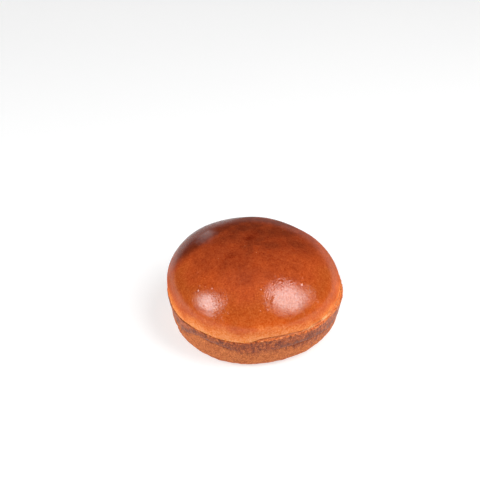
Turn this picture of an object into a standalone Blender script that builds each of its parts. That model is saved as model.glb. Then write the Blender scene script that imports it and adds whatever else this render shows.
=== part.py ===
"""A brioche burger bun baked in a low round tin: a straight tinned wall, a torn seam and a glazed dome.

The bun is one solid, turned about its upright axis from a profile that changes a little with the angle.
Lengths are metres, +Z is up, and the origin is the middle of the flat base. Angles are counted from +X
towards +Y, and the bun's front is -Y.
"""

import math

import bmesh
import bpy
from mathutils import Vector, noise

# Driving sizes of the bun
RIM_RADIUS = 0.0548  # outside of the wall at its top, where the tin ended
RIM_HEIGHT = 0.0224
FOOT_RADIUS = 0.0508  # the same wall run straight down to the table
FOOT_ROUND = 0.0048
RIM_ROUND = 0.0009
BUN_HEIGHT = 0.055

# The dome that rose out of the tin
DOME_RADIUS = 0.054
BULGE_LIFT = 0.0062  # from the rim up to the dome's widest ring
BULGE_FOLLOWS = 0.5  # how much of the rim's rise and fall that ring takes up
DOME_SIDE_FULLNESS = 2.2  # superellipse exponents: 2 is an ellipse, more is boxier
DOME_TOP_FULLNESS = 1.9
DOME_LEAN = Vector((-0.0011, -0.0001, 0.0))  # how far the top sits off the middle
LEAN_GROWTH = 1.5  # power of the height by which the lean sets in
LUMP_HEIGHT = 0.0007
LUMP_SPACING = 0.034
LUMP_START = 3  # the lumps are full this many times sooner than the top is reached

# The seam between the two, closed in places and torn open in others
CLOSED_TUCK = 0.0007  # how far the dome's lip lies inside its widest ring
OPEN_TUCK = 0.0021
CLOSED_GAP = 0.0004  # from the rim up to the lip
OPEN_GAP = 0.0022
CREASE_DEPTH = 0.0009  # the fold of the seam lies this far inside the lip
CREASE_RISE = 0.7  # and this share of the way up from the rim to it
CRUMB_HEIGHT = 0.0007
CRUMB_SPACING = 0.0042

# Torn stretches of the seam: middle and half width in degrees, and how far it opened
TEARS = ((-28, 26, 1.0), (-66, 24, 0.55), (14, 20, 0.6), (62, 24, 0.75), (104, 20, 0.95), (146, 16, 0.6))

# Waves round the bun: lobes, height, and the angle of a crest in degrees
RIM_OUTLINE_WAVES = ((2, 0.0004, 8), (3, 0.0007, 7))
DOME_OUTLINE_WAVES = ((1, 0.0011, -158), (2, 0.0008, -49), (3, 0.0006, -11))
RIM_HEIGHT_WAVES = ((1, 0.0007, -154), (2, 0.0004, -79), (3, 0.0007, 54), (7, 0.0007, -75))

# How finely the profile and the turn are divided
SPOKES = 108
BASE_RINGS = (0.45, 0.86)  # shares of the flat base's radius
FOOT_STEPS = 4
WALL_STEPS = 5
RIM_STEPS = 2
CRUMB_STEPS = 3
LIP_STEPS = 4
DOME_STEPS = 15

CRUST_COLOUR = (0.42, 0.105, 0.022, 1.0)
CRUST_ROUGHNESS = 0.32
SHARP_ANGLE = math.radians(50)


def clear_scene():
    """Remove whatever the file holds."""
    for obj in list(bpy.data.objects):
        bpy.data.objects.remove(obj)


def mix(start, end, share):
    """The value that lies this share of the way from start to end."""
    return start + (end - start) * share


def waves(angle, rows):
    """Sum of the waves that go round the bun."""
    return sum(height * math.cos(lobes * (angle - math.radians(crest))) for lobes, height, crest in rows)


def openness(angle):
    """How far the seam is torn at this angle, from 0, closed, to 1."""
    most = 0.0
    for middle, half_width, depth in TEARS:
        away = math.degrees(math.remainder(angle - math.radians(middle), math.tau)) / half_width
        most = max(most, depth * math.exp(-(away**4)))
    return most


def direction(angle):
    """Unit vector that points outwards at this angle."""
    return Vector((math.cos(angle), math.sin(angle), 0.0))


def foot_and_wall(angle):
    """Profile points, as (radius, height), from the flat base out and up to the rim."""
    rim_radius = RIM_RADIUS + waves(angle, RIM_OUTLINE_WAVES)
    rim_height = RIM_HEIGHT + waves(angle, RIM_HEIGHT_WAVES)
    flare = (RIM_RADIUS - FOOT_RADIUS) / RIM_HEIGHT
    slope = math.atan(flare)
    flat_radius = rim_radius - flare * rim_height - FOOT_ROUND * (1 - math.tan(slope / 2))
    for share in BASE_RINGS:
        yield flat_radius * share, 0.0
    for step in range(FOOT_STEPS + 1):
        turned = step / FOOT_STEPS * (math.pi / 2 - slope)
        yield flat_radius + FOOT_ROUND * math.sin(turned), FOOT_ROUND * (1 - math.cos(turned))
    wall_foot = FOOT_ROUND * (1 - math.sin(slope))
    wall_top = rim_height - RIM_ROUND
    for step in range(1, WALL_STEPS + 1):
        height = mix(wall_foot, wall_top, step / WALL_STEPS)
        yield rim_radius - flare * (rim_height - height), height
    for step in range(1, RIM_STEPS + 1):
        turned = step / RIM_STEPS * math.pi / 2
        yield rim_radius - RIM_ROUND * (1 - math.cos(turned)), wall_top + RIM_ROUND * math.sin(turned)


def seam_and_dome(angle):
    """Profile points from the torn ledge at the rim, round the dome's lip and up to just short of the top."""
    torn = openness(angle)
    rim_radius = RIM_RADIUS + waves(angle, RIM_OUTLINE_WAVES) - RIM_ROUND
    rim_wave = waves(angle, RIM_HEIGHT_WAVES)
    rim_height = RIM_HEIGHT + rim_wave
    dome_radius = DOME_RADIUS + waves(angle, DOME_OUTLINE_WAVES)
    lip_radius = dome_radius - mix(CLOSED_TUCK, OPEN_TUCK, torn)
    lip_height = rim_height + mix(CLOSED_GAP, OPEN_GAP, torn)
    crease_radius = min(lip_radius, rim_radius) - CREASE_DEPTH
    bulge_height = RIM_HEIGHT + BULGE_LIFT + BULGE_FOLLOWS * rim_wave
    for step in range(1, CRUMB_STEPS + 1):
        share = step / CRUMB_STEPS
        radius = mix(rim_radius, crease_radius, share)
        height = mix(rim_height, lip_height, CREASE_RISE * share**2)
        crumb = noise.noise(direction(angle) * radius / CRUMB_SPACING + Vector((0, 0, step)))
        yield radius, height + CRUMB_HEIGHT * torn * crumb
    for step in range(LIP_STEPS):
        turned = (1 - step / LIP_STEPS) * math.pi / 2
        radius = mix(lip_radius, dome_radius, math.cos(turned))
        yield radius, mix(bulge_height, lip_height, math.sin(turned))
    for step in range(DOME_STEPS):
        turned = step / DOME_STEPS * math.pi / 2
        radius = dome_radius * math.cos(turned) ** (2 / DOME_SIDE_FULLNESS)
        rise = math.sin(turned) ** (2 / DOME_TOP_FULLNESS)
        yield radius, mix(bulge_height, BUN_HEIGHT, rise)


def placed(angle, radius, height):
    """A profile point in space: the dome leans and is a little lumpy, the wall is not."""
    point = direction(angle) * radius
    rise = (height - RIM_HEIGHT - BULGE_LIFT) / (BUN_HEIGHT - RIM_HEIGHT - BULGE_LIFT)
    if rise > 0:
        point += DOME_LEAN * rise**LEAN_GROWTH
        height += LUMP_HEIGHT * noise.noise(point / LUMP_SPACING) * min(1.0, LUMP_START * rise)
    point.z = height
    return point


def centre_outline(shell):
    """Slide the shape sideways until the middle of its outline, seen from above, is at the origin."""
    for side in range(2):
        reach = [vertex.co[side] for vertex in shell.verts]
        middle = (min(reach) + max(reach)) / 2
        for vertex in shell.verts:
            vertex.co[side] -= middle
        print("moved by", round(-middle, 5), "m along", "XY"[side])


def turned_bun():
    """Mesh of the whole bun: rings of points joined by quads, one face below and a fan on top."""
    shell = bmesh.new()
    profiles = []
    for spoke in range(SPOKES):
        angle = math.tau * spoke / SPOKES
        points = [*foot_and_wall(angle), *seam_and_dome(angle)]
        profiles.append([shell.verts.new(placed(angle, *point)) for point in points])
    for spoke, profile in enumerate(profiles):
        after = profiles[(spoke + 1) % SPOKES]
        for low in range(len(profile) - 1):
            shell.faces.new((profile[low], after[low], after[low + 1], profile[low + 1]))
    shell.faces.new([profile[0] for profile in reversed(profiles)])
    top = shell.verts.new(placed(0.0, 0.0, BUN_HEIGHT))
    for spoke, profile in enumerate(profiles):
        shell.faces.new((profile[-1], profiles[(spoke + 1) % SPOKES][-1], top))
    centre_outline(shell)
    mesh = bpy.data.meshes.new("brioche_bun")
    shell.to_mesh(mesh)
    shell.free()
    return mesh


def crust_material():
    """Egg-glazed crust, browned in the oven."""
    material = bpy.data.materials.new("glazed_crust")
    material.use_nodes = True
    shader = material.node_tree.nodes["Principled BSDF"]
    shader.inputs["Base Color"].default_value = CRUST_COLOUR
    shader.inputs["Roughness"].default_value = CRUST_ROUGHNESS
    shader.inputs["Metallic"].default_value = 0.0
    return material


def main():
    clear_scene()
    mesh = turned_bun()
    mesh.materials.append(crust_material())
    mesh.shade_smooth()
    mesh.set_sharp_from_angle(angle=SHARP_ANGLE)
    bun = bpy.data.objects.new("brioche_bun", mesh)
    bpy.context.scene.collection.objects.link(bun)


main()
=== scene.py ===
# %% [markdown]
# A brioche burger bun, egg-glazed and baked in a low round tin.
#
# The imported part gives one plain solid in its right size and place. This notebook keeps that size and makes
# the looks: a finely modelled body that stands for the solid, the blisters in its glaze, the shreds of
# crumb in its seam, and the four finishes that the oven gave it. Lengths are metres, +Z is up, and the
# front is -Y.

# %% Load the fixed frame
import math

import bpy
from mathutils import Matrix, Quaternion, Vector


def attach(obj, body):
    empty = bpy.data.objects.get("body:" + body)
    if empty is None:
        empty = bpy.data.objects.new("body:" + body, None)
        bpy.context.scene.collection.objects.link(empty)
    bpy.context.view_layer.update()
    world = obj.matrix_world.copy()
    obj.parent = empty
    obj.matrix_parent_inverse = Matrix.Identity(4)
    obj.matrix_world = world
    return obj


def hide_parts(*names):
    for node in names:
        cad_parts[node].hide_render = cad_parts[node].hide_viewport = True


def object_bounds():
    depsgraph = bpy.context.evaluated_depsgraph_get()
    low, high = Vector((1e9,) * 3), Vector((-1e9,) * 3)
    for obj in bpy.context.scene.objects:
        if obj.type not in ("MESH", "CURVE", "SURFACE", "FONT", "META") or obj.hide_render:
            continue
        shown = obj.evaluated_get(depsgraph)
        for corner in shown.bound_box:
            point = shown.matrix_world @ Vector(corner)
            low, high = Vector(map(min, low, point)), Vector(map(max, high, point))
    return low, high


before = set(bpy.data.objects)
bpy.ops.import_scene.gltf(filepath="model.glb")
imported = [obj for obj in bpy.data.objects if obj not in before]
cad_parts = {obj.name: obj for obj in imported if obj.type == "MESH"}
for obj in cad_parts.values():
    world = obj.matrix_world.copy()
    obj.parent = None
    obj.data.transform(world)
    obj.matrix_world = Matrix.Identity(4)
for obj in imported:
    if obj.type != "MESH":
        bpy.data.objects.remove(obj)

NODE = "brioche_bun"
BODY = "root"
MILLIMETRE = 0.001

cad_low, cad_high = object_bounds()
cad_middle = (cad_low + cad_high) / 2
print("the solid is", [round(side * 1000, 1) for side in cad_high - cad_low], "mm")

# %% [markdown]
# The camera looks down at the bun at 37 degrees, as the photographer did, from 0.8 m with a long lens. A
# long lens keeps the bun's ellipses nearly parallel, which is how a photographed product usually looks. The
# aim and the lens were worked out together with the bun's sizes, so that its outline falls where the photo
# has it.

# %% Camera
ELEVATION = math.radians(37)
CAMERA_DISTANCE = 0.8
LENS_MM = 98.28
SENSOR_MM = 36
AIM = Vector((-0.0096, 0.0, 0.0585))


def direction_to(azimuth, elevation):
    """Unit vector towards a place round the bun: azimuth 0 is the front, and positive is to its right."""
    level = math.cos(elevation)
    return Vector((math.sin(azimuth) * level, -math.cos(azimuth) * level, math.sin(elevation)))


def into_scene(name, data):
    """A new object that holds this data, linked into the scene."""
    thing = bpy.data.objects.new(name, data)
    bpy.context.scene.collection.objects.link(thing)
    return thing


camera = into_scene("camera", bpy.data.cameras.new("camera"))
camera.data.lens = LENS_MM
camera.data.sensor_width = SENSOR_MM
towards_camera = direction_to(0, ELEVATION)
camera.location = AIM + towards_camera * CAMERA_DISTANCE
camera.rotation_euler = towards_camera.to_track_quat("Z", "Y").to_euler()
bpy.context.scene.camera = camera
bpy.context.scene.view_settings.view_transform = "Standard"
print("the camera stands at", [round(part, 3) for part in camera.location])

# %% [markdown]
# Arithmetic in a node tree takes one Math node for each sign, and a formula soon becomes a page of boxes. A
# small class turns that round: an Amount holds a socket, and adding or multiplying it adds the node. The
# same formulas then serve the shapes and the materials, and they read as they would on paper.


# %% Arithmetic that builds nodes
def plug(socket, value):
    """Give a socket a value: another node's output, or a plain number, colour or object."""
    if isinstance(value, Amount):
        value = value.socket
    if isinstance(value, bpy.types.NodeSocket):
        socket.id_data.links.new(value, socket)
    elif socket.type == "RGBA":
        socket.default_value = (*value, 1.0)
    else:
        socket.default_value = value


def plug_all(sockets, values):
    """Give each socket its value, in order."""
    for socket, value in zip(sockets, values):
        plug(socket, value)


def add(tree, kind, settings=(), **sockets):
    """Add a node, with its settings and its inputs by name, where an underscore stands for a space."""
    node = tree.nodes.new(kind)
    for name, value in dict(settings).items():
        setattr(node, name, value)
    for name, value in sockets.items():
        plug(node.inputs[name.replace("_", " ")], value)
    return node


def reckon(operation, *terms):
    """Add one Math node, in the tree that its first worked-out term belongs to."""
    tree = next(term.socket.id_data for term in terms if isinstance(term, Amount))
    node = add(tree, "ShaderNodeMath", {"operation": operation})
    plug_all(node.inputs, terms)
    return Amount(node.outputs[0])


class Amount:
    """A number that a tree works out. Arithmetic on it adds Math nodes."""

    def __init__(self, socket):
        self.socket = socket

    def __add__(self, other):
        return reckon("ADD", self, other)

    def __radd__(self, other):
        return reckon("ADD", other, self)

    def __sub__(self, other):
        return reckon("SUBTRACT", self, other)

    def __rsub__(self, other):
        return reckon("SUBTRACT", other, self)

    def __mul__(self, other):
        return reckon("MULTIPLY", self, other)

    def __rmul__(self, other):
        return reckon("MULTIPLY", other, self)

    def __truediv__(self, other):
        return reckon("DIVIDE", self, other)

    def __rtruediv__(self, other):
        return reckon("DIVIDE", other, self)

    def __pow__(self, other):
        return reckon("POWER", self, other)

    def __gt__(self, other):
        return reckon("GREATER_THAN", self, other)

    def __lt__(self, other):
        return reckon("LESS_THAN", self, other)


def mix(start, end, share):
    """The value that lies this share of the way from start to end."""
    return start + (end - start) * share


def where(test, chosen, otherwise):
    """chosen where the test is 1, and otherwise where it is 0."""
    return mix(otherwise, chosen, test)


def ramp(amount, low, high, start=0.0, end=1.0, smooth=True):
    """From start to end as the amount goes from low to high, and level outside that."""
    tree = amount.socket.id_data
    node = add(tree, "ShaderNodeMapRange", {"interpolation_type": "SMOOTHSTEP" if smooth else "LINEAR"})
    plug_all(node.inputs, (amount, low, high, start, end))
    return Amount(node.outputs[0])


# %% Noise and cells, by their real size
def noise(spot, size, detail=2.0, roughness=0.5, seed=0.0, warp=0.0):
    """Soft noise from about -0.5 to 0.5 with lumps of this size, at a spot given as a vector socket."""
    settings = {"noise_dimensions": "4D"}
    node = add(spot.id_data, "ShaderNodeTexNoise", settings, Vector=spot, W=seed, Scale=1 / size)
    for name, value in (("Detail", detail), ("Roughness", roughness), ("Distortion", warp)):
        plug(node.inputs[name], value)
    return Amount(node.outputs[0]) - 0.5


def cells(spot, size, feature="F1", seed=0.0):
    """Voronoi cells of this size: the distance to a cell's middle, or to its edge, as a share of the size."""
    settings = {"voronoi_dimensions": "4D", "feature": feature}
    node = add(spot.id_data, "ShaderNodeTexVoronoi", settings, Vector=spot, W=seed, Scale=1 / size)
    return Amount(node.outputs["Distance"])


def marks(spot, size, inner, outer, strength, seed):
    """One round mark in the middle of each cell of this size, which fades out from inner to outer."""
    return ramp(cells(spot, size, seed=seed), inner, outer, strength, 0.0)


# %% [markdown]
# The light is plain: a large softbox on the right, high up, and a smaller one on the left, lower down. A
# glazed crust is a convex mirror, so each softbox shows on it as one pale patch, and its size and place on
# the crust say how large the box is and where it stands. The patches fade over a dimmer rim, so each of the
# two boxes has a wider and dimmer oval round it. A small low box gives the left patch its tail, and a faint
# one far behind gives the crust's left edge a grey sheen. The white floor sends light up under the bun.
# Overhead is nearly dark, as a studio's ceiling is, so that the crust keeps its deep colour between the
# patches.

# %% Softboxes
BOX_DISTANCE = 0.75

# Each glowing oval: azimuth, elevation and turn in degrees, width, height, and how brightly it shines
SOFTBOXES = {
    "right": (71.0, 55.0, 61, 0.73, 0.40, 5.0),
    "right_edge": (62.5, 48.5, 61, 0.92, 0.62, 1.9),
    "left": (-67.5, 37.8, 114, 0.45, 0.30, 6.4),
    "left_low": (-54.0, 17.0, 90, 0.22, 0.15, 2.8),
    "left_edge": (-68.5, 33.0, 114, 0.74, 0.46, 1.4),
    "rear": (-160.5, 12.5, 85, 0.19, 0.10, 1.9),
}


def softbox(name, azimuth, elevation, turn, width, height, radiance):
    """One glowing oval that faces the bun."""
    towards = direction_to(math.radians(azimuth), math.radians(elevation))
    facing_bun = towards.to_track_quat("Z", "Y") @ Quaternion((0.0, 0.0, 1.0), math.radians(turn))
    lamp = bpy.data.lights.new("softbox_" + name, "AREA")
    lamp.shape = "ELLIPSE"
    lamp.size, lamp.size_y = width, height
    # Power is pi times radiance and area, and an oval's area is pi / 4 times its width and height
    lamp.energy = radiance * math.pi * math.pi / 4 * width * height
    box = into_scene(lamp.name, lamp)
    box.location = Vector((0, 0, cad_middle.z)) + towards * BOX_DISTANCE
    box.rotation_euler = facing_bun.to_euler()
    box.visible_camera = False
    print(lamp.name, "shines with", round(lamp.energy, 2), "W")


for name, row in SOFTBOXES.items():
    softbox(name, *row)

# %% Dim studio round it
# How brightly the room shines, by how steeply upward one looks: from, to, and the strengths at the two
ROOM = (0.02, 0.14, 0.23, 0.05)  # from its walls up to the dark ceiling
FLOOR_MEETS = (0.012, 0.040, 0.38, 0.0)  # brighter right over the horizon, where the white floor runs out
OVERHEAD_GLOW = (0.80, 0.97, 0.0, 0.10)  # a little more straight above, where light strays to the ceiling

world = bpy.data.worlds.new("studio")
world.use_nodes = True
bpy.context.scene.world = world
heading = add(world.node_tree, "ShaderNodeTexCoord").outputs["Generated"]
upward = Amount(add(world.node_tree, "ShaderNodeSeparateXYZ", Vector=heading).outputs["Z"])
shine = ramp(upward, *ROOM) + ramp(upward, *FLOOR_MEETS) + ramp(upward, *OVERHEAD_GLOW)
backdrop = world.node_tree.nodes["Background"]
plug(backdrop.inputs["Strength"], shine)
plug(backdrop.inputs["Color"], (1.0, 1.0, 1.0))
print("the room shines with", ROOM[3], "where it is darkest and", ROOM[2] + FLOOR_MEETS[2], "at the horizon")

# %% Floor
FLOOR_HALF = 20.0
FLOOR_LOOKS = {
    "Base Color": (0.5, 0.5, 0.5),
    "Roughness": 0.9,
    "Specular IOR Level": 0.0,
    "Emission Color": (1.0, 1.0, 1.0),
    "Emission Strength": 0.58,  # it shines a little itself, so that it stays white all round the bun
}

floor_mesh = bpy.data.meshes.new("floor")
corners = [(x * FLOOR_HALF, y * FLOOR_HALF, cad_low.z) for x, y in ((-1, -1), (1, -1), (1, 1), (-1, 1))]
floor_mesh.from_pydata(corners, [], [(0, 1, 2, 3)])
floor = into_scene("floor", floor_mesh)
floor_paint = bpy.data.materials.new("floor_paint")
floor_paint.use_nodes = True
for name, value in FLOOR_LOOKS.items():
    plug(floor_paint.node_tree.nodes["Principled BSDF"].inputs[name], value)
floor_mesh.materials.append(floor_paint)

# %% [markdown]
# Every finish on the bun is its own material, built from the same few steps: a colour that follows how hot
# that spot got, darker and lighter patches over it, and a fine relief that only the light can see. Browning
# follows the surface, so the body carries it as attributes: how far above the lip a point of the dome lies,
# how far below the rim a point of the wall lies, and how far the seam is torn open there.


# %% A material's frame
def begin(name, roughness, specular):
    """A new material, its tree, its shader, and the bun's own coordinates."""
    material = bpy.data.materials.new(name)
    material.use_nodes = True
    tree = material.node_tree
    shader = tree.nodes["Principled BSDF"]
    plug(shader.inputs["Roughness"], roughness)
    plug(shader.inputs["Specular IOR Level"], specular)
    spot = add(tree, "ShaderNodeTexCoord").outputs["Object"]
    return material, tree, shader, spot


def kept(tree, name):
    """An attribute that the body's form has left on the mesh."""
    if tree.type == "GEOMETRY":
        return Amount(add(tree, "GeometryNodeInputNamedAttribute", Name=name).outputs["Attribute"])
    return Amount(add(tree, "ShaderNodeAttribute", {"attribute_name": name}).outputs["Fac"])


def vector(tree, x, y, z):
    """Three amounts as one vector socket."""
    return add(tree, "ShaderNodeCombineXYZ", X=x, Y=y, Z=z).outputs["Vector"]


def parts(spot):
    """The x, y and z of a vector socket."""
    outputs = add(spot.id_data, "ShaderNodeSeparateXYZ", Vector=spot).outputs
    return [Amount(outputs[side]) for side in "XYZ"]


def on_vectors(tree, operation, first, second):
    """A Vector Math node on two vectors."""
    node = add(tree, "ShaderNodeVectorMath", {"operation": operation})
    plug_all(node.inputs, (first, second))
    return node.outputs["Vector"]


def drawn_up(spot, squeeze):
    """The same coordinates, squeezed in height, so that a grain on them stands upright."""
    node = add(spot.id_data, "ShaderNodeMapping", Vector=spot, Scale=(1.0, 1.0, squeeze))
    return node.outputs["Vector"]


# %% Colours laid over each other
def blend(share, under, over):
    """The colour that lies this share of the way from one colour to another."""
    node = add(share.socket.id_data, "ShaderNodeMix", {"data_type": "RGBA"})
    plug_all((node.inputs[0], node.inputs[6], node.inputs[7]), (share, under, over))
    return node.outputs[2]


def run_of_shades(level, shades):
    """A colour that passes through a run of shades as the level rises: each row is a level and its shade."""
    passed, colour = shades[0]
    for reached, shade in shades[1:]:
        colour = blend(ramp(level, passed, reached, smooth=False), colour, shade)
        passed = reached
    return colour


def tinted(colour, amount, gains):
    """A colour made lighter or darker by an amount round 0, with a gain for red, green and blue."""
    tree = amount.socket.id_data
    return on_vectors(tree, "MULTIPLY", colour, vector(tree, *(amount * gain + 1.0 for gain in gains)))


def relief(tree, shader, height_mm, socket="Normal"):
    """Bump from a height in millimetres."""
    node = add(tree, "ShaderNodeBump", Strength=1.0, Distance=MILLIMETRE, Height=height_mm)
    plug(shader.inputs[socket], node.outputs["Normal"])


# %% [markdown]
# The dome was brushed with egg, which browns faster than dough. Its top met the most heat and is a deep red
# brown, its shoulder is orange, and the strip just over the seam, where the dough rose last and no egg
# reached, is pale. A run of shades along the height over the lip makes that, and slow noise shifts the
# height, so that the browning is cloudy. A few clouds that stand out have their own places. Over it lie a
# fine mottle, a faint net of lighter veins and dark specks of pore. The glaze itself is a clear coat over
# the colour, with an orange-peel skin.

# %% Shades and places on the dome
# Each row is a height over the lip, in metres, and the shade that the crust has there
DOME_SHADES = (
    (-0.003, (0.92, 0.370, 0.110)),
    (0.001, (0.87, 0.290, 0.086)),
    (0.0045, (0.81, 0.206, 0.041)),
    (0.009, (0.61, 0.105, 0.0160)),
    (0.013, (0.51, 0.086, 0.0125)),
    (0.018, (0.450, 0.078, 0.0115)),
    (0.024, (0.450, 0.067, 0.0115)),
    (0.031, (0.32, 0.044, 0.0085)),
    (0.038, (0.17, 0.0235, 0.0055)),
)
# Painted shade: a darker red laid deep in a tear and on the lip's underside beside it, where shade falls
CREASE_SHADE_RED = (0.55, 0.105, 0.018)  # deep in a tear, and on the lip's underside beside it

# How far a lighter or darker patch moves red, green and blue, where the crust is brown and where it is pale
BROWN_GAINS = (0.52, 1.0, 1.5)
PALE_GAINS = (0.15, 1.3, 3.4)

# The heat varied, as if a place had risen higher or lower: how far back, from and to, and the extra rise at
# the two. The back half took more of it, its last edge most. The front lip is a little paler, as painted
# light.
HOT_SIDE = (-0.016, 0.026, 0.0, 0.0078)
HOT_EDGE = (0.025, 0.034, 0.0, 0.0050)
FRONT_PAINTED_LIGHT = (-0.048, -0.030, -0.0008, 0.0)

# The crust is darker towards the far left shoulder: how far over there, from and to, and the extra rise there
DARKER_SHOULDER = (0.034, 0.050, 0.0, 0.013)

# A rough glaze mirrors less at its edges than a polished one would: the share of the coat that is left there.
# Round that darker shoulder it keeps more: from, to, and the two shares.
EDGE_GLOSS = (0.043, 0.053, 0.16, 0.52)
COAT_ROUGHNESS = 0.09
COAT_IOR = 1.6

# Dark places on the dome: angle in degrees, distance from the axis, half width, and strength
CLOUDS = (
    (117, 0.0080, 0.0036, 0.55), (91, 0.0139, 0.0030, 0.3), (-143, 0.018, 0.0035, 0.25),
    (35, 0.012, 0.003, 0.12), (160, 0.0370, 0.0070, 0.40),
)
SPECKS = (
    (47, 0.0113, 0.0004, 0.8), (-137, 0.0418, 0.0008, 0.5), (-62, 0.0100, 0.0005, 0.4),
    (-78, 0.0418, 0.0007, 0.4), (-80, 0.0430, 0.0006, 0.4), (-83, 0.0449, 0.0005, 0.3),
)

# Places where the glaze dried rougher, as rows of the same kind
ROUGH_PLACES = (
    (-117, 0.0425, 0.0050, 2.2), (-114, 0.0520, 0.0030, 1.4), (-73, 0.0350, 0.0040, 1.8),
    (-60, 0.0335, 0.0035, 1.8), (-80, 0.0440, 0.0035, 2.0), (-44, 0.0495, 0.0030, 1.6),
    (-66, 0.0510, 0.0030, 1.2), (162, 0.0340, 0.0080, 1.0),
)


# %% Glazed crust
def plan_spot(angle, distance):
    """x and y, seen from above, at an angle in degrees and a distance from the axis."""
    turn = math.radians(angle)
    return distance * math.cos(turn), distance * math.sin(turn)


def cloudiness(spot, rows):
    """Sum of soft round patches at their places, seen from above."""
    x, y, _ = parts(spot)
    total = 0.0
    for angle, distance, half_width, strength in rows:
        middle_x, middle_y = plan_spot(angle, distance)
        across, along = (x - middle_x) / half_width, (y - middle_y) / half_width
        total = total + reckon("EXPONENT", (across * across + along * along) * -1.0) * strength
    return total


def dome_colour(tree, spot, rise, backward, over_there):
    """Browning by the height over the lip, with mottle, veins, pores, clouds, and painted glints ringed by
    painted shade.
    """
    slow = noise(spot, 0.022, 2.0, seed=3.0) * 0.010 + noise(spot, 0.007, 3.0, seed=5.0) * 0.012
    heat = slow + ramp(backward, *HOT_SIDE) + ramp(backward, *HOT_EDGE) + ramp(backward, *FRONT_PAINTED_LIGHT)
    heat = heat + ramp(over_there, *DARKER_SHOULDER) * ramp(rise, 0.005, 0.014)
    colour = run_of_shades(rise + heat, DOME_SHADES)
    # Painted shade: beside a tear, the lip's underside is turned three quarters of the way to the darker
    # crease red
    underside = ramp(rise, 0.0001, 0.0009, 1.0, 0.0) * ramp(kept(tree, "torn"), 0.15, 0.5)
    colour = blend(underside * 0.75, colour, CREASE_SHADE_RED)
    browned = ramp(rise, 0.004, 0.026, 0.25, 1.0)
    mottle = noise(spot, 0.0026, 3.0, 0.65, seed=8.0)
    grain = noise(spot, 0.0010, 2.0, 0.7, seed=9.0)
    bent = noise(spot, 0.004, 2.0, seed=15.0) * 0.004
    bent_spot = on_vectors(tree, "ADD", spot, vector(tree, bent, bent, bent))
    net = cells(bent_spot, 0.0085, "DISTANCE_TO_EDGE", seed=2.0)
    vein = ramp(net, 0.0, 0.06, 0.15, 0.0)
    pores = marks(spot, 0.0040, 0.05, 0.11, -0.55, seed=4.0)
    bead = cells(spot, 0.0052, seed=6.0)
    # Painted glints: a tiny pale dot in each cell, with a faint ring of painted shade round it
    painted_glints = ramp(bead, 0.05, 0.11, 1.0, 0.0) - ramp(bead, 0.11, 0.15) * ramp(bead, 0.15, 0.20, 0.18, 0.0)
    dark = cloudiness(spot, CLOUDS) + cloudiness(spot, SPECKS)
    colour = tinted(colour, (mottle * 1.1 + grain * 2.0 + vein + pores) * browned - dark, BROWN_GAINS)
    return tinted(colour, (mottle * 0.7 + grain * 1.8) * (1 - browned) + painted_glints, PALE_GAINS)


def glaze(tree, shader, spot, rise, over_there):
    """The clear coat: thinner low down and where the skin turns away, speckled, and rougher in places."""
    slant = Amount(add(tree, "ShaderNodeLayerWeight", Blend=0.5).outputs["Facing"])
    turned_away = ramp(slant, 0.30, 0.76, 1.0, ramp(over_there, *EDGE_GLOSS), smooth=False)
    low_down = ramp(rise, 0.005, 0.017, 0.35, 1.0)
    speckle = noise(spot, 0.0008, 1.0, seed=16.0) * 2.2 + 0.96
    plug(shader.inputs["Coat Weight"], turned_away * low_down * speckle)
    plug(shader.inputs["Coat Roughness"], COAT_ROUGHNESS)
    plug(shader.inputs["Coat IOR"], COAT_IOR)
    dried = ramp(noise(spot, 0.010, 1.0, seed=17.0), 0.05, 0.2)
    rough = cloudiness(spot, ROUGH_PLACES) + dried + 1.0
    peel = noise(spot, 0.0010, 2.0, 0.6, seed=11.0)
    wrinkle = noise(spot, 0.0005, 2.0, 0.6, seed=12.0)
    dimples = marks(spot, 0.0030, 0.06, 0.20, -0.05, seed=14.0)
    pits = marks(spot, 0.0012, 0.0, 0.35, -0.02, seed=18.0)
    height = (peel * 0.055 + wrinkle * 0.03) * rough + dimples + pits
    relief(tree, shader, height * 1.5)
    relief(tree, shader, height, "Coat Normal")


def glazed_crust():
    material, tree, shader, spot = begin("egg_glazed_crust", 0.6, 0.0)
    rise = kept(tree, "lip_rise")
    rightward, backward, _ = parts(spot)
    over_there = backward - rightward
    plug(shader.inputs["Base Color"], dome_colour(tree, spot, rise, backward, over_there))
    glaze(tree, shader, spot, rise, over_there)
    return material


# %% [markdown]
# The wall pressed against the greased tin. Lower down it stayed a matt tan with a fine grain and open
# pores. The upper part, next to the tin's hot edge, scorched to mahogany and took a dull shine, with flecks
# of lighter crust in it, upright wrinkles from the dough climbing up the tin, and an uneven lower border.
# One material makes both, because they are one skin: the drop below the rim, set against how far down the
# scorching reached at that angle, chooses between them.

# %% Wall baked against the tin
TAN = (0.58, 0.166, 0.050)
MAHOGANY = (0.165, 0.027, 0.008)
RED_BROWN = (0.40, 0.075, 0.014)
FLECK = (0.70, 0.20, 0.050)
# The colour of open pores, and of the painted shade in the wall's fold groove
PORE_DARK_AND_FOLD_SHADE = (0.20, 0.045, 0.014)
# Painted sheen: the greyish mauve laid on the wall's fold ridge
RIDGE_PAINTED_SHEEN = (0.195, 0.070, 0.046)
TAN_GAINS = (0.6, 1.0, 1.15)
CRUMB_ORANGE = (0.76, 0.200, 0.046)
STRIP_HANG = 0.0020  # the torn strip's orange reaches this far down over the rim


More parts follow.
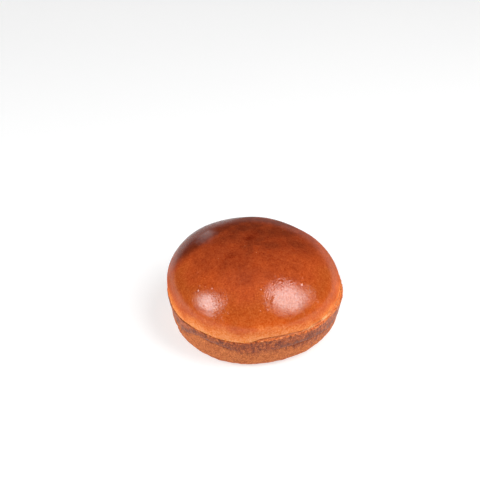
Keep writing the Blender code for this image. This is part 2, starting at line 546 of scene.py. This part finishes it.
def tin_baked_wall():
    material, tree, shader, spot = begin("tin_baked_wall", 0.7, 0.24)
    grain = noise(spot, 0.0007, 3.0, 0.7, seed=21.0)
    crinkle = noise(spot, 0.0018, 2.0, 0.6, seed=27.0, warp=0.6)
    blotch = noise(spot, 0.006, 3.0, 0.6, seed=22.0)
    upright = drawn_up(spot, 0.5)
    streak = noise(upright, 0.0013, 3.0, 0.65, seed=24.0)
    pores = marks(spot, 0.0020, 0.09, 0.2, 1.0, seed=23.0)
    tan = tinted(TAN, grain * 3.4 + crinkle * 1.6 + blotch * 0.5, TAN_GAINS)
    tan = blend(pores * 0.75, tan, PORE_DARK_AND_FOLD_SHADE)
    scorched = blend(ramp(streak + blotch * 0.6, -0.20, 0.06), MAHOGANY, RED_BROWN)
    scorched = blend(ramp(streak * 0.8 + grain * 0.9, 0.02, 0.12, 0.0, 0.85), scorched, FLECK)
    past_fold = kept(tree, "past_fold") + crinkle * 0.0008
    folded = kept(tree, "fold")
    ridge = ramp(past_fold, -0.0040, -0.0018) * ramp(past_fold, -0.0005, 0.0, 1.0, 0.0) * folded
    gap = ramp(past_fold, -0.0003, 0.0002) * ramp(past_fold, 0.0003, 0.0011, 1.0, 0.0) * folded
    # Painted sheen: along the fold's ridge the scorched colour turns greyish mauve, for a glossy ridge
    # reflecting the white floor
    scorched = blend(ridge * ramp(streak + crinkle, -0.12, 0.10, 1.0, 0.35), scorched, RIDGE_PAINTED_SHEEN)
    border = blotch * 0.5 + noise(upright, 0.0030, 3.0, seed=25.0) * 0.6 + grain * 0.5 + crinkle * 0.5
    scorch = ramp(kept(tree, "scorch") + border, 0.68, 1.28, 1.0, 0.0)
    colour = blend(scorch, tan, scorched)
    # Painted shade: the fold's groove is darkened towards the pore colour
    colour = blend(gap * 0.7, colour, PORE_DARK_AND_FOLD_SHADE)
    ragged = noise(upright, 0.0016, 3.0, 0.65, seed=28.0) * 0.0055 + blotch * 0.003
    torn = kept(tree, "torn")
    hanging = torn * torn * STRIP_HANG - kept(tree, "drop") + ragged
    stretched_dough = blend(ramp(streak * 0.8 + crinkle * 0.8, -0.12, 0.04), RED_BROWN, CRUMB_ORANGE)
    colour = blend(ramp(hanging, -0.0003, 0.0003), colour, stretched_dough)
    plug(shader.inputs["Base Color"], colour)
    plug(shader.inputs["Roughness"], mix(0.8, 0.42, scorch) + grain * 0.2 - ridge * 0.1)
    height = grain * 0.30 + crinkle * 0.40 - pores * 0.25
    relief(tree, shader, height + streak * scorch * 0.45)
    return material


# %% [markdown]
# Where the dome tore away from the wall, a strip of stretched dough shows: browned orange, moist and
# stringy, with a pale yellow split here and there that opened last. Where the seam stayed shut, only a thin
# dark fold is left.

# %% Torn crumb and base
FOLD_BROWN = (0.20, 0.042, 0.015)
CRUMB_GOLD = (0.84, 0.340, 0.105)
CRUMB_PALE = (0.93, 0.530, 0.210)
BASE_BROWN = (0.20, 0.060, 0.022)


def torn_crumb():
    material, tree, shader, spot = begin("torn_crumb", 0.34, 0.6)
    lumps = noise(spot, 0.0030, 3.0, 0.6, seed=31.0)
    threads = noise(drawn_up(spot, 0.4), 0.0010, 2.0, 0.6, seed=32.0)
    torn = kept(tree, "torn")
    colour = blend(ramp(torn, 0.12, 0.4), FOLD_BROWN, CRUMB_ORANGE)
    gold = ramp(lumps + threads * 0.6, -0.02, 0.14) * ramp(torn, 0.2, 0.5)
    colour = blend(gold, colour, CRUMB_GOLD)
    colour = blend(ramp(lumps - threads * 0.5, 0.07, 0.15, 0.0, 0.7), colour, RED_BROWN)
    # Painted shade: deeper into the tear, towards the fold under the lip, the crumb is turned darker red
    colour = blend(kept(tree, "depth") * 0.75, colour, CREASE_SHADE_RED)
    colour = blend(kept(tree, "split"), colour, CRUMB_PALE)
    colour = tinted(colour, threads * 0.8, TAN_GAINS)
    plug(shader.inputs["Base Color"], colour)
    relief(tree, shader, lumps * 0.25 + threads * 0.15)
    return material


def base_crust():
    material, tree, shader, spot = begin("base_crust", 0.75, 0.3)
    grain = noise(spot, 0.0009, 3.0, 0.65, seed=41.0)
    blotch = noise(spot, 0.014, 3.0, 0.6, seed=42.0)
    pores = marks(spot, 0.0035, 0.08, 0.18, 1.0, seed=43.0)
    colour = blend(ramp(blotch + grain * 0.5, -0.2, 0.25), BASE_BROWN, TAN)
    colour = blend(pores * 0.6, tinted(colour, grain, TAN_GAINS), PORE_DARK_AND_FOLD_SHADE)
    plug(shader.inputs["Base Color"], colour)
    relief(tree, shader, grain * 0.14 + blotch * 0.3 - pores * 0.15)
    return material


crusts = {
    "Dome Crust": glazed_crust(),
    "Wall Crust": tin_baked_wall(),
    "Torn Crumb": torn_crumb(),
    "Base Crust": base_crust(),
}
print("finishes:", ", ".join(material.name for material in crusts.values()))

# %% [markdown]
# The body is a turned shape, so a rule makes it: a profile that goes from the middle of the base, out round
# the foot, up the wall, over the rim, in to the seam's fold, out round the dome's lip and up to the top,
# and that changes a little with the angle. It could be spun from a drawn curve, but then it would be
# perfectly round. Geometry Nodes start from a tall cylinder instead. Its angle is the way round the bun,
# and its height is the way along the profile, so one formula for each stretch of the profile puts every
# point in its place.

# %% The bun's sizes
FORM_SIZES = {
    "Spokes": 440,
    "Rim Radius": 0.0548,
    "Rim Height": 0.0224,
    "Foot Radius": 0.0508,
    "Foot Round": 0.0048,
    "Rim Round": 0.0009,
    "Bun Height": 0.055,
    "Dome Radius": 0.054,
    "Bulge Lift": 0.0062,
    "Side Fullness": 2.2,
    "Top Fullness": 1.9,
    "Lump Height": 0.0007,
    "Crumb Height": 0.0013,
    "Grain Height": 0.00022,
    "Seed": 7.0,
}
BULGE_FOLLOWS = 0.5
DOME_LEAN = (-0.0011, -0.0001)
LEAN_GROWTH = 1.5
CLOSED_TUCK, OPEN_TUCK = -0.0004, 0.0018
CLOSED_GAP, OPEN_GAP = 0.00015, 0.0022
CREASE_DEPTH = 0.0006
TEAR_STEEPNESS = 6
PLACE_STEEPNESS = 2
CREASE_RISE = 0.85
BASE_HOLE = 0.02  # the profile begins this share of the flat base away from the axis
DOME_STOP = 0.995  # and it ends after this share of the dome's quarter turn

# Torn stretches of the seam: middle and half width in degrees, and how far it opened
TEARS = ((-28, 26, 1.0), (-66, 24, 0.55), (14, 23, 0.6), (62, 26, 0.75), (104, 20, 0.95), (146, 16, 0.6))

# Pale splits in the torn strip: middle and half width in degrees, and how strongly they show
SPLITS = (
    (-35, 4.5, 1.0), (-50.5, 2.8, 0.9), (-56, 1.2, 0.4), (20, 3.0, 0.8),
    (66, 4.0, 0.9), (100, 3.0, 1.0), (143, 3.0, 0.7),
)

# A short ridge in the glaze: its ends as an angle in degrees and a distance from the axis, and its size
RIDGE_ENDS = ((-74, 0.0418), (-77, 0.0440))
RIDGE_HEIGHT, RIDGE_HALF_WIDTH = 0.00022, 0.0007

# Waves round the bun: lobes, height, and the angle of a crest in degrees
RIM_OUTLINE_WAVES = ((2, 0.0004, 8), (3, 0.0007, 7))
DOME_OUTLINE_WAVES = ((1, 0.0011, -158), (2, 0.0008, -49), (3, 0.0006, -11))
RIM_HEIGHT_WAVES = ((1, 0.0007, -154), (2, 0.0004, -79), (3, 0.0007, 54), (7, 0.0007, -75))

# How far down the wall is scorched: the depth, waves on it, and places where it reached less or more
SCORCH_DEPTH = 0.0088
SCORCH_WAVES = ((1, 0.0014, -65), (3, 0.0004, 80))
SCORCH_PLACES = (
    (-122, 15, -0.0034), (-148, 13, 0.0018), (-82, 20, 0.0012),
    (-24, 18, 0.0030), (40, 20, -0.0015), (165, 20, -0.002),
)

# Where the scorching went on below the fold
SCORCH_BELOW = ((-40, 24, 0.0028),)

# A fold in the wall near the band's lower border: its share of the band, and where it shows
FOLD_SHARE = 0.80
FOLD_PLACES = ((-43, 31, 1.0), (-117, 13, 0.7), (-146, 14, 0.8), (60, 25, 0.8), (135, 25, 0.6))
FOLD_SWELL, FOLD_GAP = 0.00035, 0.0003

# Rows of points along each stretch of the profile, in order
STRETCHES = {"base": 6, "foot": 8, "wall": 62, "rim": 6, "crumb": 20, "tuck": 4, "lip": 12, "dome": 106}
ROWS = sum(STRETCHES.values())


def row_of(stretch):
    """The row at which a stretch of the profile begins."""
    names = list(STRETCHES)
    return sum(STRETCHES[name] for name in names[: names.index(stretch)])


# Each finish begins at a row and lasts until the next one begins
FINISH_STARTS = {
    "Base Crust": -1,
    "Wall Crust": row_of("foot"),
    "Torn Crumb": row_of("crumb"),
    "Dome Crust": row_of("tuck") + 2,
}


# %% A tree with named inputs, and the mesh that it gives
def new_tree(name, sizes, materials=(), takes_mesh=False):
    """An empty Geometry Nodes tree, and its inputs as Amounts by their names."""
    tree = bpy.data.node_groups.new(name, "GeometryNodeTree")
    tree.interface.new_socket(name="Geometry", in_out="OUTPUT", socket_type="NodeSocketGeometry")
    if takes_mesh:
        tree.interface.new_socket(name="Geometry", in_out="INPUT", socket_type="NodeSocketGeometry")
    for label, value in sizes.items():
        kind = "NodeSocketInt" if isinstance(value, int) else "NodeSocketFloat"
        tree.interface.new_socket(name=label, in_out="INPUT", socket_type=kind).default_value = value
    for label in materials:
        tree.interface.new_socket(name=label, in_out="INPUT", socket_type="NodeSocketMaterial")
    given = add(tree, "NodeGroupInput").outputs
    return tree, {socket.name: Amount(socket) for socket in given if socket.name}


def run_tree(name, tree, values, start=None):
    """Set a tree's inputs, run it on a start mesh, and keep the result as a piece with a plain mesh."""
    holder = into_scene(name + "_tree", start or bpy.data.meshes.new(name + "_tree"))
    modifier = holder.modifiers.new("tree", "NODES")
    modifier.node_group = tree
    for item in tree.interface.items_tree:
        if item.in_out == "INPUT" and item.name in values:
            modifier[item.identifier] = values[item.name]
    evaluated = holder.evaluated_get(bpy.context.evaluated_depsgraph_get())
    mesh = bpy.data.meshes.new_from_object(evaluated)
    bpy.data.objects.remove(holder)
    mesh.name = name
    piece = into_scene(name, mesh)
    triangles = sum(len(face.vertices) - 2 for face in mesh.polygons)
    print(name, "has", triangles, "triangles")
    return piece


def position(tree):
    """Where the point stands that the tree is working on."""
    return add(tree, "GeometryNodeInputPosition").outputs["Position"]


def step(tree, kind, geometry, **sockets):
    """Add the Geometry node of this kind, which takes a geometry and hands one on."""
    return add(tree, "GeometryNode" + kind, Geometry=geometry, **sockets).outputs["Geometry"]


def keep(tree, geometry, name, amount, kind="FLOAT"):
    """Leave an amount on the points of the mesh, under a name that materials and later nodes can read."""
    settings = {"data_type": kind, "domain": "POINT"}
    node = add(tree, "GeometryNodeStoreNamedAttribute", settings, Geometry=geometry, Name=name, Value=amount)
    return node.outputs["Geometry"]


def scaled(tree, direction, length):
    """A vector made longer or shorter."""
    settings = {"operation": "SCALE"}
    return add(tree, "ShaderNodeVectorMath", settings, Vector=direction, Scale=length).outputs["Vector"]


# %% The rules of its outline
def waves(angle, rows):
    """Sum of the waves that go round the bun."""
    total = 0.0
    for lobes, height, crest in rows:
        total = total + reckon("COSINE", (angle - math.radians(crest)) * lobes) * height
    return total


def bump(angle, middle, half_width, steepness):
    """1 at the middle and 0 well past the half width, both in degrees. A steeper bump is squarer."""
    away = reckon("WRAP", angle - math.radians(middle), math.pi, -math.pi) / math.radians(half_width)
    return reckon("EXPONENT", (away * away) ** steepness * -1.0)


def openness(angle):
    """How far the seam is torn at this angle, from 0, closed, to 1."""
    most = 0.0
    for middle, half_width, depth in TEARS:
        most = reckon("MAXIMUM", bump(angle, middle, half_width, TEAR_STEEPNESS) * depth, most)
    return most


def at_places(angle, rows):
    """Sum of bumps round the bun: each row is a middle and a half width in degrees, and a height."""
    return sum(bump(angle, *place, PLACE_STEEPNESS) * height for *place, height in rows)


def profile(size, angle, row, ragged):
    """Radius and height along the whole profile, and the heights of the rim and the lip, at every angle."""
    share = {}
    for stretch, rows in STRETCHES.items():
        share[stretch] = ramp(row, row_of(stretch), row_of(stretch) + rows, smooth=False)
    torn = openness(angle)
    flare = (size["Rim Radius"] - size["Foot Radius"]) / size["Rim Height"]
    slope = reckon("ARCTANGENT", flare)
    rim_wave = waves(angle, RIM_HEIGHT_WAVES)
    rim_radius = size["Rim Radius"] + waves(angle, RIM_OUTLINE_WAVES)
    rim_height = size["Rim Height"] + rim_wave + ragged * (torn * 0.5 + 0.5)
    flat_radius = rim_radius - flare * rim_height - size["Foot Round"] * (1 - reckon("TANGENT", slope / 2))
    dome_radius = size["Dome Radius"] + waves(angle, DOME_OUTLINE_WAVES)
    bulge_height = size["Rim Height"] + size["Bulge Lift"] + rim_wave * BULGE_FOLLOWS
    ledge_radius = rim_radius - size["Rim Round"]
    lip_radius = mix(ledge_radius - CLOSED_TUCK, dome_radius - OPEN_TUCK, torn)
    lip_height = rim_height + mix(CLOSED_GAP, OPEN_GAP, torn)
    crease_radius = reckon("MINIMUM", lip_radius, ledge_radius) - CREASE_DEPTH
    crease_height = mix(rim_height, lip_height, CREASE_RISE)
    wall_foot = size["Foot Round"] * (1 - reckon("SINE", slope))
    wall_top = rim_height - size["Rim Round"]
    quarter = math.pi / 2
    foot_turn = share["foot"] * (quarter - slope)
    wall_height = mix(wall_foot, wall_top, share["wall"])
    rim_turn = share["rim"] * quarter
    lip_turn = (1 - share["lip"]) * quarter
    dome_turn = share["dome"] * (quarter * DOME_STOP)
    dome_rise = reckon("SINE", dome_turn) ** (2 / size["Top Fullness"])
    points = {
        "base": (flat_radius * mix(BASE_HOLE, 1.0, share["base"]), 0.0),
        "foot": (
            flat_radius + size["Foot Round"] * reckon("SINE", foot_turn),
            size["Foot Round"] * (1 - reckon("COSINE", foot_turn)),
        ),
        "wall": (rim_radius - flare * (rim_height - wall_height), wall_height),
        "rim": (
            rim_radius - size["Rim Round"] * (1 - reckon("COSINE", rim_turn)),
            wall_top + size["Rim Round"] * reckon("SINE", rim_turn),
        ),
        "crumb": (
            mix(ledge_radius, crease_radius, share["crumb"]),
            mix(rim_height, crease_height, share["crumb"] * share["crumb"]),
        ),
        "tuck": (
            mix(crease_radius, lip_radius, share["tuck"]),
            mix(crease_height, lip_height, share["tuck"]),
        ),
        "lip": (
            mix(lip_radius, dome_radius, reckon("COSINE", lip_turn)),
            mix(bulge_height, lip_height, reckon("SINE", lip_turn)),
        ),
        "dome": (
            dome_radius * reckon("COSINE", dome_turn) ** (2 / size["Side Fullness"]),
            mix(bulge_height, size["Bun Height"], dome_rise),
        ),
    }
    radius, height = 0.0, 0.0
    for stretch, (stretch_radius, stretch_height) in points.items():
        inside = row > (row_of(stretch) or -1.0)  # the first stretch has row 0 too
        radius = where(inside, stretch_radius, radius)
        height = where(inside, stretch_height, height)
    return radius, height, rim_height, lip_height, torn


# %% The body's tree
def body_tree():
    tree, size = new_tree("bun_form", FORM_SIZES, crusts)
    cylinder = add(
        tree,
        "GeometryNodeMeshCylinder",
        {"fill_type": "TRIANGLE_FAN"},
        Vertices=size["Spokes"],
        Side_Segments=ROWS,
        Fill_Segments=1,
        Radius=1.0,
        Depth=1.0,
    )
    x, y, z = parts(position(tree))
    angle = reckon("ARCTAN2", y, x)
    row = (z + 0.5) * ROWS
    ring = vector(tree, x * size["Rim Radius"], y * size["Rim Radius"], 0.0)
    ragged = noise(ring, 0.0042, 3.0, 0.65, seed=size["Seed"]) * 0.0011
    radius, height, rim_height, lip_height, torn = profile(size, angle, row, ragged)
    split = at_places(angle, SPLITS) * ramp(row, row_of("crumb") + 2, row_of("crumb") + 6)
    drop = rim_height - height
    scorch_depth = waves(angle, SCORCH_WAVES) + at_places(angle, SCORCH_PLACES) + SCORCH_DEPTH
    wander = noise(ring, 0.009, 2.0, seed=size["Seed"] + 9.0) * 0.0022
    carried = {
        "row": row,
        "torn": torn,
        "lip_rise": height - lip_height,
        "split": split * ramp(row, row_of("tuck") - 5, row_of("tuck") - 1, 1.0, 0.0),
        # depth: painted shade, a share that grows towards the fold under the lip, where the crumb is painted
        # darker
        "depth": ramp(row, row_of("tuck") - 9, row_of("tuck") - 1),
        "drop": drop,
        "scorch": drop / (scorch_depth + at_places(angle, SCORCH_BELOW)),
        "fold": at_places(angle, FOLD_PLACES),
        "past_fold": drop - scorch_depth * FOLD_SHARE + wander,
    }
    mesh = cylinder.outputs["Mesh"]
    for name, amount in carried.items():
        mesh = keep(tree, mesh, name, amount)
    lean_start = size["Rim Height"] + size["Bulge Lift"]
    rise = ramp((height - lean_start) / (size["Bun Height"] - lean_start), 0.0, 1.0, smooth=False)
    lean = rise**LEAN_GROWTH
    spot = vector(tree, x * radius + lean * DOME_LEAN[0], y * radius + lean * DOME_LEAN[1], height)
    mesh = step(tree, "SetPosition", mesh, Position=spot)
    mesh = rough_surface(tree, mesh, size)
    mesh = step(tree, "SetShadeSmooth", mesh)
    mesh = step(tree, "RealizeInstances", mesh)
    for finish, start in FINISH_STARTS.items():
        here = kept(tree, "row") > start
        mesh = step(tree, "SetMaterial", mesh, Selection=here, Material=size[finish])
    add(tree, "NodeGroupOutput", Geometry=mesh)
    return tree


# %% [markdown]
# A baked skin is never as smooth as its formula. A second step moves every point along its own normal: slow
# lumps over the dome, dents and grain on the wall, and a coarse, stringy relief in the tear. The amounts
# are inputs of the tree, and each is let in only on its own stretch.


# %% Lumps, dents and torn crumb
# Each noise: lump size, detail, roughness, seed step, the input that sets its height, and its share of it
SKIN_NOISES = {
    "lumps": (0.034, 1.0, 0.5, 0.0, "Lump Height", 1.6),
    "ripples": (0.0085, 2.0, 0.5, 1.0, "Grain Height", 0.8),
    "dents": (0.009, 3.0, 0.6, 2.0, "Lump Height", 1.8),
    "grain": (0.0021, 2.0, 0.6, 3.0, "Grain Height", 1.2),
    "crumb": (0.0030, 3.0, 0.65, 4.0, "Crumb Height", 1.0),
    "hem": (0.006, 2.0, 0.5, 5.0, "Grain Height", 2.0),
    "knobs": (0.0055, 2.0, 0.5, 6.0, "Lump Height", 2.0),
    "frays": (0.0014, 2.0, 0.6, 8.0, "Crumb Height", 0.7),
}


def between(row, first, last, soft=6):
    """1 from one row to another, and softly down to 0 outside them."""
    return ramp(row, first - soft, first) * ramp(row, last, last + soft, 1.0, 0.0)


def glaze_ridge(spot):
    """Height of the short ridge, from how far a spot lies from the line between its two ends."""
    (from_x, from_y), (to_x, to_y) = (plan_spot(*end) for end in RIDGE_ENDS)
    run_x, run_y = to_x - from_x, to_y - from_y
    x, y, _ = parts(spot)
    along = ((x - from_x) * run_x + (y - from_y) * run_y) / (run_x**2 + run_y**2)
    along = ramp(along, 0.0, 1.0, smooth=False)
    off_x, off_y = x - from_x - along * run_x, y - from_y - along * run_y
    return reckon("EXPONENT", (off_x * off_x + off_y * off_y) / (RIDGE_HALF_WIDTH**2) * -1.0) * RIDGE_HEIGHT


def rough_surface(tree, mesh, size):
    """Move the points along their normals by the relief of the stretch that they lie on."""
    spot = position(tree)
    row, torn, past_fold = kept(tree, "row"), kept(tree, "torn"), kept(tree, "past_fold")
    push = {}
    for name, (lump, detail, roughness, seed_step, height, share) in SKIN_NOISES.items():
        waviness = noise(spot, lump, detail, roughness, seed=size["Seed"] + seed_step)
        push[name] = waviness * size[height] * share
    on_dome = ramp(row, row_of("lip") + 4, row_of("dome") + 20)
    on_wall = between(row, row_of("foot") + 6, row_of("crumb") - 2)
    low_down = between(row, row_of("foot") + 6, row_of("wall") + 18, 5)
    on_crumb = between(row, row_of("crumb") + 4, row_of("tuck"))
    on_edge = between(row, row_of("wall") + 56, row_of("tuck"), 5)
    on_lip = between(row, row_of("tuck") + 2, row_of("dome"))
    swell = ramp(past_fold, -0.0040, -0.0012) * ramp(past_fold, -0.0010, 0.0002, 1.0, 0.0) * FOLD_SWELL
    swell = swell * (noise(spot, 0.0032, 2.0, seed=size["Seed"] + 7.0) * 3.0 + 1.0)
    gap = ramp(past_fold, -0.0006, 0.0002) * ramp(past_fold, 0.0004, 0.0016, 1.0, 0.0) * FOLD_GAP
    folds = (swell - gap) * kept(tree, "fold")
    total = (push["lumps"] + push["ripples"] + glaze_ridge(spot)) * on_dome
    total = total + (push["dents"] + push["grain"] + folds) * on_wall
    total = total + push["crumb"] * (torn * 0.9 + 0.1) * on_crumb + push["frays"] * torn * on_edge
    total = total + push["hem"] * on_lip + push["knobs"] * low_down
    normal = add(tree, "GeometryNodeInputNormal").outputs[0]
    return step(tree, "SetPosition", mesh, Offset=scaled(tree, normal, total))


# %% Make the body and set it on the solid's place
bun = run_tree("bun_body", body_tree(), {**FORM_SIZES, **crusts})
reach = [[vertex.co[side] for vertex in bun.data.vertices] for side in range(3)]
slide = Vector((0.0, 0.0, 0.0))
for side in range(2):
    slide[side] = cad_middle[side] - (min(reach[side]) + max(reach[side])) / 2
for vertex in bun.data.vertices:
    vertex.co += slide
print("slid by", [round(part * 1000, 2) for part in slide], "mm")

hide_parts(NODE)
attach(bun, BODY)

# %% [markdown]
# Steam raised small blisters in the glaze, most of them in a cluster on the front shoulder. They are what
# breaks up the edge of a shine. They could be bump, but a real blister has an outline and throws its own
# glint, so each is a little closed lens that lies in the skin. The cluster stands at measured places. The
# others are scattered by the tree, over the glazed part of the dome alone, with a fixed seed. Each one
# takes its browning from the skin that it sits on, so that none shows as a patch.

# %% Blister places and sizes
# Each row is an angle in degrees, a distance from the axis in millimetres, and a growth
BLISTER_SPOTS = (
    (-63.5, 30.7, 0.9), (-64.2, 32.8, 1.2), (-61.5, 33.7, 1.1), (-53.4, 36.0, 0.9),
    (-44.9, 39.3, 1.5), (-64.7, 36.7, 0.8), (-85.9, 35.9, 0.8), (-80.8, 41.6, 0.9),
    (-82.3, 46.9, 0.9), (-71.6, 33.7, 1.0), (-42.4, 50.3, 0.7), (-55.7, 51.6, 0.7),
    (-139.2, 45.9, 1.1), (-129.5, 41.1, 1.2), (-136.2, 41.9, 0.8), (-140.9, 43.7, 0.6),
    (-112.9, 52.0, 0.9), (-111.5, 52.8, 0.8), (-109.2, 49.8, 0.7), (-161.9, 44.7, 0.8),
    (-153.2, 39.2, 0.7), (-152.6, 30.6, 0.7), (-94.3, 49.8, 0.7), (-85.1, 39.7, 0.6),
)
BLISTER_SIZES = {"Radius": 0.0010, "Height": 0.00026, "Sink": 0.00003, "Density": 6000.0, "Seed": 3}
RAY_HEIGHT = 0.08
SCATTER_START = 0.012  # no scattered blister sits lower than this over the lip


def spots_mesh(name, rows):
    """A mesh of loose points over the bun, each of which carries its growth."""
    mesh = bpy.data.meshes.new(name)
    points = [(*plan_spot(angle, distance * MILLIMETRE), RAY_HEIGHT) for angle, distance, _ in rows]
    mesh.from_pydata(points, [], [])
    growths = [growth for _, _, growth in rows]
    mesh.attributes.new("growth", "FLOAT", "POINT").data.foreach_set("value", growths)
    return mesh


def facing(tree, normal, spin):
    """A rotation whose Z lies along the normal, after a random turn about it."""
    upright = add(tree, "FunctionNodeAlignRotationToVector", {"axis": "Z"}, Vector=normal).outputs["Rotation"]
    turn = add(tree, "FunctionNodeAxisAngleToRotation", Axis=(0.0, 0.0, 1.0), Angle=spin).outputs["Rotation"]
    node = add(tree, "FunctionNodeRotateRotation", {"rotation_space": "LOCAL"})
    plug(node.inputs["Rotation"], upright)
    plug(node.inputs["Rotate By"], turn)
    return node.outputs["Rotation"]


def chance(tree, low, high, seed):
    """A random amount for each point."""
    node = add(tree, "FunctionNodeRandomValue", {"data_type": "FLOAT"})
    for name, value in (("Min", low), ("Max", high), ("Seed", seed)):
        socket = next(socket for socket in node.inputs if socket.name == name and socket.enabled)
        plug(socket, value)
    return Amount(next(socket for socket in node.outputs if socket.enabled))


def read_off(tree, geometry, name):
    """The amount that a surface carries where it comes nearest to a point."""
    node = add(tree, "GeometryNodeSampleNearestSurface", {"data_type": "FLOAT"})
    plug(node.inputs["Mesh"], geometry)
    plug(node.inputs["Value"], kept(tree, name))
    return Amount(node.outputs["Value"])


def settle(tree, loose, surface):
    """Drop loose points straight down on a surface, and keep the surface's normal there as their own."""
    ray = add(
        tree,
        "GeometryNodeRaycast",
        Target_Geometry=surface,
        Source_Position=position(tree),
        Ray_Direction=(0.0, 0.0, -1.0),
        Ray_Length=2 * RAY_HEIGHT,
    )
    marked = keep(tree, loose, "skin_normal", ray.outputs["Hit Normal"], "FLOAT_VECTOR")
    return step(tree, "SetPosition", marked, Position=ray.outputs["Hit Position"])


def strewn(tree, skin, size, part):
    """Points scattered over a part of the bun's skin, with the density and the seed of the tree's inputs."""
    scatter = add(tree, "GeometryNodeDistributePointsOnFaces", Mesh=skin, Selection=part, Seed=size["Seed"])
    plug(scatter.inputs["Density"], size["Density"])
    return scatter.outputs


def close_tree(tree, mesh, finish):
    """Smooth shading and one finish for the whole mesh, and the tree's end."""
    mesh = step(tree, "SetShadeSmooth", mesh)
    mesh = step(tree, "SetMaterial", mesh, Material=finish)
    add(tree, "NodeGroupOutput", Geometry=mesh)


# %% The blisters' tree
def lens(tree, size):
    """One blister, lying flat: a sphere whose top is pressed to a low mound and whose underside is flat."""
    ball = add(tree, "GeometryNodeMeshUVSphere", Segments=10, Rings=6, Radius=1.0).outputs["Mesh"]
    x, y, z = parts(position(tree))
    inside = reckon("MAXIMUM", 1 - (x * x + y * y), 0.0)
    height = where(z > 0.0, inside * inside * size["Height"], inside * size["Height"] * -0.5)
    shape = vector(tree, x * size["Radius"], y * size["Radius"], height)
    return step(tree, "SetPosition", ball, Position=shape)


def blister_tree():
    tree, size = new_tree("glaze_blister_scatter", BLISTER_SIZES, ["Finish"], takes_mesh=True)
    skin = add(tree, "GeometryNodeObjectInfo", Object=bun).outputs["Geometry"]
    placed = settle(tree, size["Geometry"], skin)
    scatter = strewn(tree, skin, size, kept(tree, "lip_rise") > SCATTER_START)
    marked = keep(tree, scatter["Points"], "skin_normal", scatter["Normal"], "FLOAT_VECTOR")
    small = keep(tree, marked, "growth", chance(tree, 0.3, 0.7, size["Seed"]))
    joined = add(tree, "GeometryNodeJoinGeometry")
    for points in (small, placed):
        plug(joined.inputs["Geometry"], points)
    stored = add(tree, "GeometryNodeInputNamedAttribute", {"data_type": "FLOAT_VECTOR"}, Name="skin_normal")
    normal = stored.outputs["Attribute"]
    spread = add(tree, "GeometryNodeInstanceOnPoints", Points=joined.outputs[0], Instance=lens(tree, size))
    plug(spread.inputs["Rotation"], facing(tree, normal, chance(tree, 0.0, math.tau, size["Seed"] + 1)))
    growth = kept(tree, "growth")
    longer = chance(tree, 0.8, 1.5, size["Seed"] + 2)
    plug(spread.inputs["Scale"], vector(tree, growth * longer, growth, growth))
    lowered = add(tree, "GeometryNodeTranslateInstances", Instances=spread.outputs[0], Local_Space=False)
    plug(lowered.inputs["Translation"], scaled(tree, normal, size["Sink"] * -1.0))
    mesh = step(tree, "RealizeInstances", lowered.outputs[0])
    for name in ("lip_rise", "torn"):  # the two amounts that the dome's finish reads
        mesh = keep(tree, mesh, name, read_off(tree, skin, name))
    close_tree(tree, mesh, size["Finish"])
    return tree


blisters = run_tree(
    "glaze_blisters",
    blister_tree(),
    {**BLISTER_SIZES, "Finish": crusts["Dome Crust"]},
    spots_mesh("blister_spots", BLISTER_SPOTS),
)
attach(blisters, BODY)

# %% [markdown]
# A tear leaves shreds: short strings and scales of dough that stand up from the strip and caught the heat
# or stayed pale. They are scattered over the strip where the seam is open, laid mostly along it, and each
# is bent and ragged by noise after it has found its place, so no two are alike.

# %% Shreds of crumb along the tears
SHRED_SIZES = {"Length": 0.00095, "Width": 0.00035, "Height": 0.00032, "Density": 220000.0, "Seed": 12}
SHRED_START = 0.3  # no shred where the seam is open less than this
SHRED_ROUGHNESS = 0.0007


def shred_tree():
    tree, size = new_tree("crumb_shred_scatter", SHRED_SIZES, ["Finish"])
    skin = add(tree, "GeometryNodeObjectInfo", Object=bun).outputs["Geometry"]
    row, torn = kept(tree, "row"), kept(tree, "torn")
    on_strip = (row > row_of("rim") + 2) * (row < row_of("tuck")) * (torn > SHRED_START)
    scatter = strewn(tree, skin, size, on_strip)
    points = keep(tree, scatter["Points"], "split", chance(tree, -1.2, 0.6, size["Seed"] + 1))
    points = keep(tree, points, "torn", chance(tree, 0.6, 1.0, size["Seed"] + 2))
    x, y, _ = parts(position(tree))
    ball = add(tree, "GeometryNodeMeshIcoSphere", Radius=1.0, Subdivisions=2).outputs["Mesh"]
    spread = add(tree, "GeometryNodeInstanceOnPoints", Points=points, Instance=ball)
    round_the_bun = reckon("ARCTAN2", y, x) + math.pi / 2 + chance(tree, -0.6, 0.6, size["Seed"] + 3)
    turn = add(tree, "FunctionNodeAxisAngleToRotation", Axis=(0.0, 0.0, 1.0), Angle=round_the_bun)
    plug(spread.inputs["Rotation"], turn.outputs["Rotation"])
    growth = chance(tree, 0.5, 1.3, size["Seed"] + 4)
    sides = [growth * size[side] for side in ("Length", "Width", "Height")]
    plug(spread.inputs["Scale"], vector(tree, *sides))
    mesh = step(tree, "RealizeInstances", spread.outputs[0])
    spot = position(tree)
    bends = [noise(spot, 0.0007, 1.0, seed=size["Seed"] + side) for side in (5.0, 6.0, 7.0)]
    offset = vector(tree, *(bend * SHRED_ROUGHNESS for bend in bends))
    mesh = step(tree, "SetPosition", mesh, Offset=offset)
    close_tree(tree, mesh, size["Finish"])
    return tree


shreds = run_tree("crumb_shreds", shred_tree(), {**SHRED_SIZES, "Finish": crusts["Torn Crumb"]})
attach(shreds, BODY)
